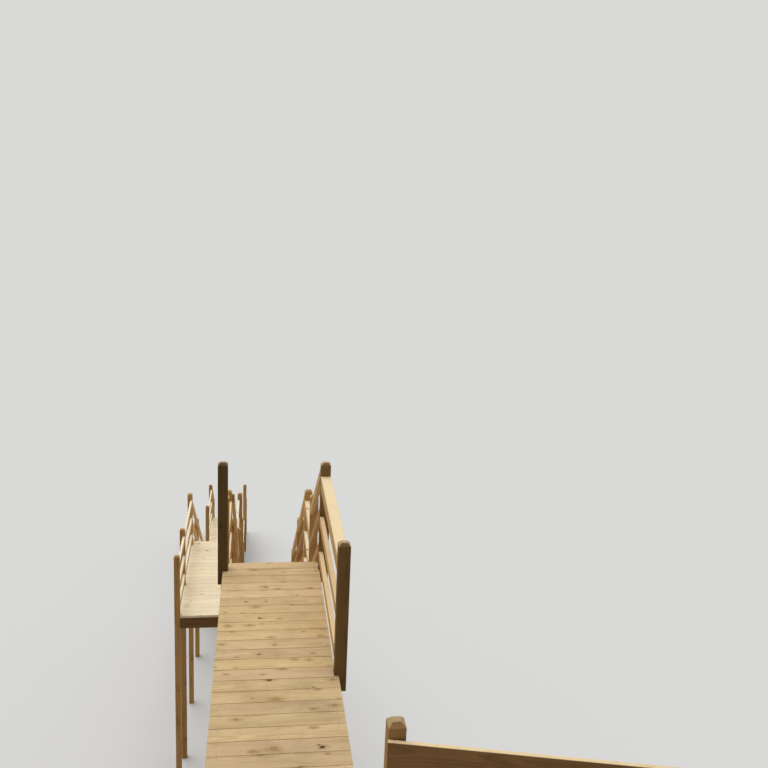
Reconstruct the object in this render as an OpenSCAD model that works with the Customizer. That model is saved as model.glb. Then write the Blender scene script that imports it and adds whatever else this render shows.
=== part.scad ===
// Wooden deck stairs: a level boardwalk, two landings and four flights of
// straight stairs stepping down a slope, with post and rail guards.
// X runs across the boardwalk, Y along it down the stairs, Z is up.

/* [Lumber] */
// Side of a square post
post_w = 88.9; // [70:0.1:140]
// Thickness of every board, rail, joist and stringer
stock = 38.1; // [30:0.1:50]
// Width of a deck board and of a tread board
board_w = 139.7; // [100:0.1:160]
// Open gap between two boards
board_gap = 2.5; // [1:0.1:6]
// Width of a rail
rail_w = 88.9; // [60:0.1:120]
// Width of the single rail of the near arm
arm_rail_w = 139.7; // [90:0.1:180]
// Thickness of that rail
arm_rail_t = 25.4; // [19:0.1:38]
// Depth of a joist
joist_h = 184; // [140:1:240]
// Depth of the header that carries a flight
header_h = 286; // [250:1:320]
// Depth of a stringer plank
stringer_h = 286; // [250:1:320]

/* [Stairs] */
// Width of the boards and of each lane
lane_w = 914.4; // [700:0.1:1200]
// Height of one step
rise = 190.5; // [150:0.5:200]
// Going of one step
run = 279.4; // [260:0.1:300]
// Risers of the upper flight
upper_risers = 6; // [3:1:10]
// Risers of the long flight
long_risers = 12; // [6:1:16]
// Risers of the lower flight
lower_risers = 13; // [6:1:16]
// Risers of the foot flight
foot_risers = 5; // [3:1:8]

/* [Decks] */
// Boards of the upper walkway
walk_boards = 27; // [20:1:40]
// Boards of the middle landing
middle_boards = 7; // [6:1:12]
// Boards of the lower landing that reach over both lanes
wide_boards = 8; // [6:1:16]
// Further boards of the lower landing, on the left lane
narrow_boards = 13; // [6:1:20]
// Boards of the lower walkway
lower_boards = 28; // [16:1:40]
// Boards of the near arm left of its corner post
arm_left_boards = 7; // [7:1:7]
// Boards of the near arm right of its corner post
arm_right_boards = 14; // [8:1:24]
// Angle by which the near arm turns towards the walker
arm_turn = 13.3; // [0:0.1:15]
// How far the middle of the near arm's corner post stands outside the lane
arm_corner_out = 63; // [50:1:90]
// How far the near arm's far edge reaches past the walkway's first whole board
arm_reach = 10; // [0:1:60]
// How much shorter the boards are beside the walkway's rail
rail_trim = 25; // [0:1:40]

/* [Guards] */
// Height of the top of the cap rail above its deck or its line of steps
cap_top = 914; // [850:1:940]
// How far a level guard's post rises above its cap
post_proud = 125; // [60:1:200]
// Height of the top of the middle rail of a capped guard and of a flight
mid_top = 524; // [420:1:560]
// Height of the top of the bottom rail of a capped guard and of a flight
low_top = 178; // [120:1:220]
// Height of the top of the near arm's single rail
arm_rail_top = 962; // [900:1:1000]
// Height of the bevel on a post's top
bevel_h = 24; // [10:1:40]
// Inset of that bevel on each side
bevel_in = 22; // [8:1:30]
// How far the walkway's posts, which hang on its joists, reach below its deck
post_hang = 135; // [80:1:200]
// How far the posts on the upper lane's right stand outside it
right_out = 12; // [0:1:30]
// How far the left posts of the upper flight and middle landing stand outside
left_out = 28; // [0:1:40]
// How far the lower lane's left posts stand outside it
lower_left_out = 24; // [0:1:40]
// Distance from a deck's end to the middle of its last posts
post_back = 127; // [100:1:180]
// How far before the middle landing the upper flight's foot posts stand
upper_foot_back = 152; // [50:1:200]
// Length of the walkway's railed end, between post centres
walk_rail_len = 1800; // [1200:10:2400]
// Length of the lower walkway's railed end, between post centres
lower_rail_len = 1600; // [1000:10:1800]
// How far the upper flight's foot posts rise above their rail
upper_proud = 145; // [60:1:200]
// How far a post within a flight rises above its rail
mid_proud = 127; // [60:1:200]
// How far the foot posts of the other flights rise above their rail
foot_proud = 32; // [30:1:150]
// How much lower the guards of the lower flight run than those of the others
lower_drop = 110; // [0:5:150]

/* [Hidden] */

// Height of a post above its deck
guard_post_h = cap_top + post_proud;

// Clearance of a board around a post, of a tread between the posts, and of
// the planks of one frame where they butt
fit_gap = 3;
tread_gap = 1.5;
butt_gap = 0.3;
eps = 1;
far_away = 60000;

// Levels of the deck tops above the ground
foot_z = 0;
lower_z = foot_z + foot_risers * rise;
landing_z = lower_z + lower_risers * rise;
middle_z = landing_z + long_risers * rise;
walk_z = middle_z + upper_risers * rise;

// Length of a deck of n boards, and of a flight of n risers
function deck_len(n) = n * board_w + (n - 1) * board_gap;
function flight_len(n) = (n - 1) * run;
pitch = board_w + board_gap;

// Places along Y, from the walkway's far end at 0
walk_y = -deck_len(walk_boards);
middle_y = flight_len(upper_risers);
middle_end = middle_y + deck_len(middle_boards);
landing_y = middle_end + flight_len(long_risers);
corner_y = landing_y + deck_len(wide_boards);
landing_end = corner_y + board_gap + deck_len(narrow_boards);
lower_y = landing_end + flight_len(lower_risers);
lower_end = lower_y + deck_len(lower_boards);
foot_y = lower_end + flight_len(foot_risers);

// The upper lane lies right of X = 0 and the lower lane left of it
lower_lane = -lane_w;
half = post_w / 2;

// Middles of the left and right posts of the walkway and the long flight, of
// the upper flight and the middle landing, and of all that is further down
right_x = lane_w + right_out;
upper_sides = [0, right_x];
middle_sides = [-left_out, right_x];
lower_sides = [lower_lane - lower_left_out, 0];

// Corner of the near arm. Its corner post stands square with the walkway, and
// that post's near left edge touches the arm's far joist and its rail.
arm_x = lane_w + arm_corner_out - half + half * (cos(arm_turn) + sin(arm_turn));
arm_y = walk_y + arm_reach - arm_x * tan(arm_turn);
arm_left = deck_len(arm_left_boards) + board_gap;
arm_right = deck_len(arm_right_boards);

// The whole model is shifted so that the origin is under its middle
x_low = lower_sides[0] - half;
x_high = arm_x + arm_right * cos(arm_turn);
y_low = arm_y - arm_right * sin(arm_turn) - lane_w * cos(arm_turn);
y_high = foot_y + post_w;
shift = [-(x_low + x_high) / 2, -(y_low + y_high) / 2, 0];

slope = rise / run;
slope_stretch = sqrt(1 + slope * slope);

pine = [0.87, 0.74, 0.53];
pale_pine = [0.93, 0.84, 0.66];
brown_pine = [0.66, 0.48, 0.30];
dark_post = [0.36, 0.28, 0.15];

// A square post from its foot to a bevelled top
module post(x, y, top, foot = foot_z) {
    outline = [[-half, foot], [half, foot], [half, top - bevel_h],
        [half - bevel_in, top], [-half + bevel_in, top],
        [-half, top - bevel_h]];
    translate([x, y, 0]) intersection() {
        rotate([90, 0, 0]) linear_extrude(post_w, center = true)
            polygon(outline);
        rotate([90, 0, 90]) linear_extrude(post_w, center = true)
            polygon(outline);
    }
}

// One leg under a joist, from the ground to the joist's underside
module leg(x, y, deck_z) {
    translate([x - half, y - half, foot_z])
        cube([post_w, post_w, deck_z - stock - joist_h - foot_z]);
}

// Places of the outer joists, against the posts, and of the middle one
function joists(sides) =
    [sides[0] + half, (sides[0] + sides[1] - stock) / 2, sides[1] - half - stock];

// Distance between the posts on two sides
function clear_w(sides) = sides[1] - sides[0] - post_w;

// A header between two sides
module header(sides, y, top, height)
    translate([sides[0] + half, y, top - height])
        cube([clear_w(sides), stock, height]);

// Joists that butt between a near header and a far header
module frame(sides, y0, y1, deck_z, far_h = joist_h, far_sides = []) {
    under = deck_z - stock;
    end = stock + butt_gap;
    for (x = joists(sides))
        translate([x, y0 + end, under - joist_h])
            cube([stock, y1 - y0 - 2 * end, joist_h]);
    header(sides, y0, under, joist_h);
    header(len(far_sides) > 0 ? far_sides : sides, y1 - stock, under, far_h);
}

// A row of deck boards across X, cut out around the posts
module boards(x0, width, y0, count, deck_z) {
    for (i = [0:count - 1])
        translate([x0, y0 + i * pitch, deck_z - stock])
            cube([width, board_w, stock]);
}

// The space that a post needs in the boards, from y0 to y1
module post_space(x, y0, y1, deck_z) {
    translate([x - half - fit_gap, y0, deck_z - stock - eps])
        cube([post_w + 2 * fit_gap, y1 - y0, stock + 2 * eps]);
}

// Post spaces at a deck's near end and far end
module near_space(x, y, deck_z)
    post_space(x, y - eps, y + post_w + fit_gap, deck_z);
module far_space(x, y, deck_z)
    post_space(x, y - post_back - half - fit_gap, y + eps, deck_z);
module mid_space(x, y, deck_z)
    post_space(x, y - half - fit_gap, y + half + fit_gap, deck_z);

// Treads of a flight, two boards each, between the posts
module treads(sides, y0, top_z, risers) {
    for (k = [1:risers - 1], j = [0, 1])
        translate([sides[0] + half + tread_gap,
                y0 + (k - 1) * run + fit_gap + j * pitch,
                top_z - k * rise - stock])
            cube([clear_w(sides) - 2 * tread_gap, board_w, stock]);
}

// Side of a stringer: sawn steps above, a straight edge below
function stringer_outline(risers, on_ground) =
    let (
        n = risers - 1,
        depth = stringer_h * slope_stretch,
        end_y = n * run,
        steps = [for (k = [1:n], j = [0, 1])
            [(k - 1 + j) * run, -k * rise - stock]],
        ground_z = -risers * rise,
        ground_y = (-ground_z - stock - depth) / slope,
        foot = on_ground
            ? [[end_y, ground_z], [ground_y, ground_z]]
            : [[end_y, -n * rise - stock - depth]]
    ) concat(steps, foot, [[0, -stock - depth]]);

// Three stringers of a flight under the joists' lines
module stringers(sides, y0, top_z, risers, on_ground = false) {
    for (x = joists(sides))
        translate([x, y0, top_z]) rotate([90, 0, 90])
            linear_extrude(stock)
                polygon(stringer_outline(risers, on_ground));
}

// Where a rail on edge starts in X: flush with the post's lane side
function edge_x(x, side) = side > 0 ? x - half : x + half - stock;

// The three rails on edge of a level guard; side is 1 when the lane is left.
// Where no flat cap lies on them, all three are higher by its thickness.
module level_rails(x, y0, y1, deck_z, side, capped = false) {
    lift = capped ? 0 : stock;
    for (top = [cap_top - stock, mid_top, low_top])
        translate([edge_x(x, side), y0, deck_z + top + lift - rail_w])
            cube([stock, y1 - y0, rail_w]);
}

// The flat cap of a level guard
module level_cap(x, y0, y1, deck_z)
    translate([x - half, y0, deck_z + cap_top - stock])
        cube([rail_w, y1 - y0, stock]);

// Height of the nosing line of a flight at y
function nosing(y, y0, top_z) = top_z - slope * (y - y0);

// A sloped plank between two plumb cuts
module sloped(x, width, ya, yb, za, zb, depth)
    translate([x, 0, 0]) rotate([90, 0, 90]) linear_extrude(width)
        polygon([[ya, za - depth], [yb, zb - depth], [yb, zb], [ya, za]]);

// A rail on edge of a sloped guard from ya to yb, its top above the nosings
module sloped_rail(x, ya, yb, y0, top_z, side, top)
    sloped(edge_x(x, side), stock, ya, yb, nosing(ya, y0, top_z) + top,
        nosing(yb, y0, top_z) + top, rail_w * slope_stretch);

// The two lower rails of a sloped guard
module sloped_rails(x, ya, yb, y0, top_z, side)
    for (top = [mid_top, low_top])
        sloped_rail(x, ya, yb, y0, top_z, side, top);

// The cap rail of a sloped guard, which has nothing on its top
module sloped_cap(x, ya, yb, y0, top_z, side)
    sloped_rail(x, ya, yb, y0, top_z, side, cap_top);

// Centres along Y of the posts at a deck's near end and far end
function near_post(y) = y + half;
function far_post(y) = y - post_back;

// Posts of the walkway's railed end
walk_far = far_post(0);
walk_near = walk_far - walk_rail_len;

// Foot posts of the upper flight, beside its last tread
upper_foot = middle_y - upper_foot_back;

// Posts of the long flight, two bays between the landings
long_top = far_post(middle_end);
long_foot = near_post(landing_y);
long_mid = (long_top + long_foot) / 2;

// Posts of the lower flight, two bays between the landing and the walkway
lower_top = far_post(landing_end);
lower_foot = near_post(lower_y);
lower_mid = (lower_top + lower_foot) / 2;

// Level from which the lower flight's guards are measured
lower_guard_z = landing_z - lower_drop;

// Posts of the lower walkway's railed end
low_far = far_post(lower_end);
low_near = low_far - lower_rail_len;
foot_post = near_post(foot_y);

// Top of a post in a flight at y
function flight_top(y, y0, top_z, proud) = nosing(y, y0, top_z) + cap_top + proud;

// Everything is drawn in the shifted frame
module placed() translate(shift) children();

// The near arm's own frame: u runs right along its far edge, v away
module arm_frame() translate([arm_x, arm_y, 0]) rotate([0, 0, -arm_turn])
    children();

// The frame of the arm's corner post, turned back about its near left edge
module corner_frame() translate([-half, -half, 0]) rotate([0, 0, arm_turn])
    translate([half, half, 0]) children();

// The half space that lies further away than v in the near arm's frame
module beyond_arm(v)
    arm_frame() translate([-far_away / 2, v, 0])
        cube([far_away, far_away, walk_z]);

module walkway_boards() color(pine) placed() difference() {
    intersection() {
        union() {
            long_part = walk_near - half;
            for (i = [-2:walk_boards - 1]) {
                y = walk_y + i * pitch;
                trim = y > long_part ? rail_trim : 0;
                translate([0, y, walk_z - stock])
                    cube([lane_w - trim, board_w, stock]);
            }
        }
        beyond_arm(board_gap);
    }
    far_space(0, 0, walk_z);
    far_space(right_x, 0, walk_z);
    mid_space(right_x, walk_near, walk_z);
}

// Its joists are cut on the slant where they meet the near arm's far joist
module walkway_frame() color(brown_pine) placed() intersection() {
    frame(upper_sides, arm_y - header_h, 0, walk_z, header_h, middle_sides);
    beyond_arm(-half);
}

module walkway_posts() color(dark_post) placed() {
    top = walk_z + guard_post_h;
    foot = walk_z - post_hang;
    post(right_x, walk_near, top, foot);
    for (x = upper_sides) post(x, walk_far, top, foot);
}

module walkway_rails() color(pine) placed()
    level_rails(right_x, walk_near + half, walk_far - half, walk_z, 1, true);

module near_arm_boards() color(pine) placed() arm_frame() difference() {
    for (i = [-arm_left_boards:arm_right_boards - 1])
        translate([i * pitch, -lane_w, walk_z - stock])
            cube([board_w, lane_w, stock]);
    corner_frame() mid_space(0, 0, walk_z);
    mid_space(arm_right - post_back, 0, walk_z);
}

module near_arm_frame() color(brown_pine) placed() arm_frame() {
    under = walk_z - stock - joist_h;
    end = stock + butt_gap;
    for (v = joists([-lane_w, 0]))
        translate([end - arm_left, v, under])
            cube([arm_left + arm_right - 2 * end, stock, joist_h]);
    for (u = [-arm_left, arm_right - stock])
        translate([u, half - lane_w, under])
            cube([stock, lane_w - post_w, joist_h]);
}

module near_arm_posts() color(brown_pine) placed() arm_frame() {
    corner_frame() post(0, 0, walk_z + guard_post_h);
    post(arm_right - post_back, 0, walk_z + guard_post_h);
}

module near_arm_rails() color(pine) placed() arm_frame()
    translate([-half, -half - arm_rail_t, walk_z + arm_rail_top - arm_rail_w])
        cube([arm_right - post_back + post_w, arm_rail_t, arm_rail_w]);

module upper_flight_treads() color(pine) placed()
    treads(middle_sides, 0, walk_z, upper_risers);
module upper_flight_stringers() color(brown_pine) placed()
    stringers(middle_sides, 0, walk_z, upper_risers);
module upper_flight_posts() color(brown_pine) placed()
    for (x = middle_sides)
        post(x, upper_foot, flight_top(upper_foot, 0, walk_z, upper_proud));
module upper_flight_rails() color(brown_pine) placed()
    sloped_rails(right_x, walk_far + half, upper_foot - half, 0, walk_z, 1);

module middle_landing_boards() color(pale_pine) placed() difference() {
    boards(0, lane_w, middle_y, middle_boards, middle_z);
    for (x = middle_sides) far_space(x, middle_end, middle_z);
}
module middle_landing_frame() color(brown_pine) placed()
    frame(middle_sides, middle_y, middle_end, middle_z, header_h);
module middle_landing_posts() color(dark_post) placed()
    for (x = middle_sides) post(x, long_top, middle_z + guard_post_h);
module middle_landing_rails() color(pale_pine) placed() {
    level_rails(-left_out, upper_foot + half, long_top - half, middle_z, -1, true);
    level_rails(right_x, upper_foot + half, long_top - half, middle_z, 1, true);
}

module long_flight_treads() color(pine) placed()
    treads(upper_sides, middle_end, middle_z, long_risers);
module long_flight_stringers() color(brown_pine) placed()
    stringers(upper_sides, middle_end, middle_z, long_risers);
module long_flight_posts() color(brown_pine) placed()
    for (x = upper_sides) {
        post(x, long_mid,
            flight_top(long_mid, middle_end, middle_z, mid_proud));
        post(x, long_foot,
            flight_top(long_foot, middle_end, middle_z, foot_proud));
    }
module long_flight_rails() color(brown_pine) placed()
    for (x = upper_sides, bay = [[long_top, long_mid], [long_mid, long_foot]])
        sloped_rails(x, bay[0] + half, bay[1] - half, middle_end, middle_z,
            x > 0 ? 1 : -1);

module lower_landing_boards() color(pale_pine) placed() difference() {
    union() {
        boards(lower_lane, 2 * lane_w, landing_y, wide_boards, landing_z);
        boards(lower_lane, lane_w, corner_y + board_gap, narrow_boards,
            landing_z);
    }
    for (x = [lower_sides[0], 0, right_x]) near_space(x, landing_y, landing_z);
    for (x = lower_sides) {
        mid_space(x, corner_y, landing_z);
        far_space(x, landing_end, landing_z);
    }
}
module lower_landing_frame() color(brown_pine) placed() {
    frame(upper_sides, landing_y, corner_y - half, landing_z);
    frame(lower_sides, landing_y, landing_end, landing_z, header_h);
}
module lower_landing_posts() color(brown_pine) placed() {
    top = landing_z + guard_post_h;
    post(lower_sides[0], near_post(landing_y), top);
    for (x = lower_sides) {
        post(x, corner_y, top);
        post(x, lower_top, top);
    }
}
module lower_landing_rails() color(pale_pine) placed() {
    left = lower_sides[0];
    level_rails(left, landing_y + post_w, corner_y - half, landing_z, -1);
    level_rails(left, corner_y + half, lower_top - half, landing_z, -1);
    level_rails(lower_sides[1], corner_y + half, lower_top - half, landing_z, 1);
}

module lower_flight_treads() color(pale_pine) placed()
    treads(lower_sides, landing_end, landing_z, lower_risers);
module lower_flight_stringers() color(brown_pine) placed()
    stringers(lower_sides, landing_end, landing_z, lower_risers);
module lower_flight_posts() color(brown_pine) placed()
    for (x = lower_sides) {
        post(x, lower_mid,
            flight_top(lower_mid, landing_end, lower_guard_z, mid_proud));
        post(x, lower_foot,
            flight_top(lower_foot, landing_end, lower_guard_z, foot_proud));
    }
module lower_flight_rails() color(brown_pine) placed()
    for (x = lower_sides,
            bay = [[lower_top, lower_mid], [lower_mid, lower_foot]])
        sloped_rails(x, bay[0] + half, bay[1] - half, landing_end,
            lower_guard_z, x < 0 ? -1 : 1);

module lower_walkway_boards() color(pale_pine) placed() difference() {
    boards(lower_lane, lane_w, lower_y, lower_boards, lower_z);
    for (x = lower_sides) {
        near_space(x, lower_y, lower_z);
        far_space(x, lower_end, lower_z);
    }
    mid_space(lower_sides[0], low_near, lower_z);
}
module lower_walkway_frame() color(brown_pine) placed()
    frame(lower_sides, lower_y, lower_end, lower_z, header_h);
module lower_walkway_posts() color(brown_pine) placed() {
    top = lower_z + guard_post_h;
    post(lower_sides[0], low_near, top);
    for (x = lower_sides) post(x, low_far, top);
}
module lower_walkway_rails() color(pale_pine) placed()
    level_rails(lower_sides[0], low_near + half, low_far - half, lower_z, -1);

module foot_flight_treads() color(pale_pine) placed()
    treads(lower_sides, lower_end, lower_z, foot_risers);
module foot_flight_stringers() color(brown_pine) placed()
    stringers(lower_sides, lower_end, lower_z, foot_risers, true);
module foot_flight_posts() color(brown_pine) placed()
    for (x = lower_sides)
        post(x, foot_post, flight_top(foot_post, lower_end, lower_z, foot_proud));
module foot_flight_rails() color(brown_pine) placed()
    for (x = lower_sides)
        sloped_rails(x, low_far + half, foot_y, lower_end, lower_z,
            x < 0 ? -1 : 1);

// Legs that end under the outer joists of the decks
module plain_legs() color(brown_pine) placed() {
    inset = half + stock / 2;
    right_leg = right_x - inset;
    lower_right = lower_sides[1] - inset;
    for (x = [inset, right_leg], y = [walk_y + half, walk_near, walk_far])
        leg(x, y, walk_z);
    for (x = [lower_sides[0] + inset, lower_right])
        leg(x, low_near - lower_rail_len, lower_z);
    leg(lower_right, low_near, lower_z);
    leg(right_leg, corner_y - post_w, landing_z);
    arm_frame() for (u = [half - arm_left, 0, arm_right - post_back])
        leg(u, inset - lane_w, walk_z);
}

module level_cap_rails() color(pale_pine) placed() {
    level_cap(right_x, walk_near + half, walk_far - half, walk_z);
    for (x = middle_sides)
        level_cap(x, upper_foot + half, long_top - half, middle_z);
}

module sloped_cap_rails() color(pine) placed() {
    sloped_cap(right_x, walk_far + half, upper_foot - half, 0, walk_z, 1);
    for (x = upper_sides,
            bay = [[long_top, long_mid], [long_mid, long_foot]])
        sloped_cap(x, bay[0] + half, bay[1] - half, middle_end, middle_z,
            x > 0 ? 1 : -1);
    for (x = lower_sides,
            bay = [[lower_top, lower_mid], [lower_mid, lower_foot]])
        sloped_cap(x, bay[0] + half, bay[1] - half, landing_end,
            lower_guard_z, x < 0 ? -1 : 1);
    for (x = lower_sides)
        sloped_cap(x, low_far + half, foot_y, lower_end, lower_z,
            x < 0 ? -1 : 1);
}

walkway_boards();
walkway_frame();
walkway_posts();
walkway_rails();
near_arm_boards();
near_arm_frame();
near_arm_posts();
near_arm_rails();
upper_flight_treads();
upper_flight_stringers();
upper_flight_posts();
upper_flight_rails();
middle_landing_boards();
middle_landing_frame();
middle_landing_posts();
middle_landing_rails();
long_flight_treads();
long_flight_stringers();
long_flight_posts();
long_flight_rails();
lower_landing_boards();
lower_landing_frame();
lower_landing_posts();
lower_landing_rails();
lower_flight_treads();
lower_flight_stringers();
lower_flight_posts();
lower_flight_rails();
lower_walkway_boards();
lower_walkway_frame();
lower_walkway_posts();
lower_walkway_rails();
foot_flight_treads();
foot_flight_stringers();
foot_flight_posts();
foot_flight_rails();
plain_legs();
level_cap_rails();
sloped_cap_rails();
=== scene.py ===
# %% [markdown]
# # Wooden deck stairs, dressed as new sawn pine
#
# A boardwalk leaves a deck at its near end and steps down a slope in four
# straight flights, with two landings and a second boardwalk between them.
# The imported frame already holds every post, board, tread, joist and rail at
# its real size. This lesson gives those planks what the saw, the hammer and
# the weather give them: eased edges, grain that runs along each plank and
# shows rings on its ends, knots, nails and dirt.

import math
import random
from collections import namedtuple

import bmesh
import bpy
from mathutils import Matrix, Vector
from mathutils.bvhtree import BVHTree
from mathutils.geometry import intersect_line_line_2d


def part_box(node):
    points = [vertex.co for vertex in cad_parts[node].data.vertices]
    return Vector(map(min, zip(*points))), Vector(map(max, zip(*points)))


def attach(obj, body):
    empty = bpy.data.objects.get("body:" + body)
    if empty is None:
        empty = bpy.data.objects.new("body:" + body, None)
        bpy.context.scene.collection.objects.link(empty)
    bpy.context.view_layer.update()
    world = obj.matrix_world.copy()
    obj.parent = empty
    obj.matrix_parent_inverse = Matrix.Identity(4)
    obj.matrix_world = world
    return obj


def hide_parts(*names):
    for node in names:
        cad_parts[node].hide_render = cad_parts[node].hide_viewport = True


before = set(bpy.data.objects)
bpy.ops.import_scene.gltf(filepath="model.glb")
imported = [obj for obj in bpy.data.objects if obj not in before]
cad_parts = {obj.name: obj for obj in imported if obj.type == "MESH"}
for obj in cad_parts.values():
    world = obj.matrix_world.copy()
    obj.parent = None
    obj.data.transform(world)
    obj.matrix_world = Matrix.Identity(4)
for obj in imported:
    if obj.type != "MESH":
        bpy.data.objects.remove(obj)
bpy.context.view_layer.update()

# %% [markdown]
# ## The eye
#
# The camera stands above the walkway's near end and looks along it, a little
# down and to the right, with a slight lean. It could be aimed at a point, but a
# lens and three turns say exactly how the photograph was taken. Its place is
# measured from one corner that everybody can find, the far left corner of the
# walkway's boards, because the lines of those boards gave the lens as well.
# The turns follow each other: the heading about the upright axis, the tilt
# about the camera's own right, and the lean about its line of sight.

# %% Camera
PHOTO_SIDE = 768
FOCAL_LENGTH_PX = 874.5
SENSOR_MM = 36.0
SIGHT = 2000
EYE_FROM_CORNER = Vector((0.2911, -7.7368, 3.5712))
HEADING, TILT, LEAN = (math.radians(angle) for angle in (8.52, 13.13, 2.54))


def add_camera():
    """The camera at the photograph's viewing angle."""
    low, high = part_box("walkway_boards")
    eye = Vector((low.x, high.y, high.z)) + EYE_FROM_CORNER
    data = bpy.data.cameras.new("eye")
    data.sensor_width = SENSOR_MM
    data.lens = FOCAL_LENGTH_PX / PHOTO_SIDE * SENSOR_MM
    data.clip_end = SIGHT
    camera = bpy.data.objects.new("eye", data)
    turn = Matrix.Rotation(-HEADING, 4, "Z") @ Matrix.Rotation(math.pi / 2 - TILT, 4, "X")
    camera.matrix_world = Matrix.Translation(eye) @ turn @ Matrix.Rotation(LEAN, 4, "Z")
    bpy.context.scene.collection.objects.link(camera)
    bpy.context.scene.camera = camera
    return camera


camera = add_camera()
print("camera at", [round(c, 3) for c in camera.location], "lens", round(camera.data.lens, 2))

# %% [markdown]
# ## Helpers for node trees
#
# A material is a graph. It could be joined up node by node, but a graph in code
# soon hides its own idea. A few helpers keep it readable: `put` adds a node with
# its settings and joins its inputs, and the others name the handful of sums
# that every pattern needs.


# %% Node helpers
def put(tree, kind, inputs=None, **settings):
    """Adds a node to a tree, sets it up, and fills or joins its inputs."""
    node = tree.nodes.new(kind)
    for name, value in settings.items():
        setattr(node, name, value)
    for name, value in (inputs or {}).items():
        if isinstance(value, bpy.types.NodeSocket):
            tree.links.new(value, node.inputs[name])
        else:
            node.inputs[name].default_value = value
    return node


def calculate(tree, operation, *values):
    """The result of a Math node on sockets or numbers."""
    return put(tree, "ShaderNodeMath", dict(enumerate(values)), operation=operation).outputs[0]


def spread(tree, value, low, high, to_low=0.0, to_high=1.0):
    """Maps a value smoothly from low..high onto to_low..to_high, and stops at both ends."""
    span = {"Value": value, "From Min": low, "From Max": high, "To Min": to_low, "To Max": to_high}
    return put(tree, "ShaderNodeMapRange", span, interpolation_type="SMOOTHSTEP").outputs[0]


def fade(tree, value, low, high):
    """One up to low, and smoothly down to zero at high."""
    return spread(tree, value, low, high, 1.0, 0.0)


def vector(tree, operation, first, second):
    """The result of a Vector Math node."""
    return put(tree, "ShaderNodeVectorMath", {0: first, 1: second}, operation=operation).outputs[0]


def length_of(tree, arrow):
    """The length of a vector."""
    return put(tree, "ShaderNodeVectorMath", {0: arrow}, operation="LENGTH").outputs["Value"]


def axes_of(tree, point):
    """The X, Y and Z of a vector, as sockets."""
    return put(tree, "ShaderNodeSeparateXYZ", {"Vector": point}).outputs


def noise(tree, where, scale, **settings):
    """A Noise texture with its scale and, if need be, its detail and roughness."""
    inputs = {"Vector": where, "Scale": scale}
    inputs.update({name.title(): value for name, value in settings.items()})
    return put(tree, "ShaderNodeTexNoise", inputs).outputs


helpers = (put, calculate, spread, fade, vector, length_of, axes_of, noise)
print("helpers ready:", ", ".join(helper.__name__ for helper in helpers))


# %% Colour helpers
def shade(red, green, blue):
    """A colour as a paint chart gives it, 0 to 255, in the linear light that shaders use."""
    def linear(part):
        part /= 255
        return part / 12.92 if part <= 0.04045 else ((part + 0.055) / 1.055) ** 2.4
    return (linear(red), linear(green), linear(blue), 1.0)


def blended(tree, share, first, second, how="MIX"):
    """Two colours blended by a share."""
    inputs = {0: share, 6: first, 7: second}
    return put(tree, "ShaderNodeMix", inputs, data_type="RGBA", blend_type=how).outputs[2]


def tinted(tree, colour, mask, amount, other):
    """The colour with another one laid over it where the mask is."""
    return blended(tree, calculate(tree, "MULTIPLY", mask, amount), colour, other)


def new_group(name, inputs, outputs):
    """A shader node group with named sockets: the group, its input node and its output node."""
    group = bpy.data.node_groups.new(name, "ShaderNodeTree")
    for socket, kind, value in inputs:
        made = group.interface.new_socket(socket, in_out="INPUT", socket_type=f"NodeSocket{kind}")
        if value is not None:
            made.default_value = value
    for socket, kind in outputs:
        group.interface.new_socket(socket, in_out="OUTPUT", socket_type=f"NodeSocket{kind}")
    return group, put(group, "NodeGroupInput").outputs, put(group, "NodeGroupOutput").inputs


def new_material(name):
    """A material whose node tree is still empty, and that tree."""
    material = bpy.data.materials.new(name)
    material.use_nodes = True
    material.node_tree.nodes.clear()
    return material, material.node_tree


print("a mid pine on the shader's scale:", [round(c, 3) for c in shade(205, 180, 135)[:3]])

# %% [markdown]
# ## Knots
#
# A plank's faces and ends all show the same log. A picture laid on them would
# stop at each edge, so the pattern here is solid: it is worked out in the
# plank's own coordinates, which each mesh will carry as the attribute `grain`,
# in metres along, across and through the plank.
#
# The first node group makes knots. A knot is a branch that the saw went
# through: a brown disc with a dark rim, in a brown halo drawn out along the
# grain, and the grain parts round it. Most branches only just reach the face
# and leave little but the halo, a soft smudge. A texture of cells scatters the
# knots, and a share of the cells is chosen by their random colour. Spots cut
# out of noise would be simpler, but they come in all shapes, and a knot is
# round, and a fine ripple makes its outline uneven. The cells are flat, and the
# plank's thickness is added to its width, as a branch leans on its way through.

# %% Scattered branches
BRANCH_LEAN = 0.8
RIPPLES_PER_METRE = 60.0
RIPPLE = (0.009, 0.009, 0.0)


def scatter_branches(group, given):
    """Branches in cells: the place in flat, the way from a branch's heart, and its random draw."""
    axes = axes_of(group, given["Place"])
    leaning = calculate(group, "MULTIPLY_ADD", axes["Z"], BRANCH_LEAN, axes["Y"])
    flat = put(group, "ShaderNodeCombineXYZ", {"X": axes["X"], "Y": leaning}).outputs[0]
    flat = vector(group, "ADD", flat, given["Shift"])
    ripple = noise(group, flat, RIPPLES_PER_METRE)["Color"]
    where = vector(group, "ADD", flat, vector(group, "MULTIPLY", ripple, RIPPLE))
    cells = put(group, "ShaderNodeTexVoronoi", {"Vector": where, "Scale": given["Per Metre"]},
                voronoi_dimensions="2D").outputs
    away = vector(group, "SUBTRACT", where, cells["Position"])
    draw = put(group, "ShaderNodeSeparateColor", {"Color": cells["Color"]}).outputs
    return flat, away, draw


print("branches lean", BRANCH_LEAN, "across for each metre through")

# %% Knot group
SMALLEST_KNOT, KNOT_RANGE = 0.007, 0.013
# the random draws between which a branch comes to show fully, and how faint the least one is
OPEN_DRAWS, FAINTEST_KNOT = (0.7, 0.97), 0.35
ROUND_KNOT, LONG_HALO = (0.8, 1.0, 0.0), (0.42, 0.85, 0.0)
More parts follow.
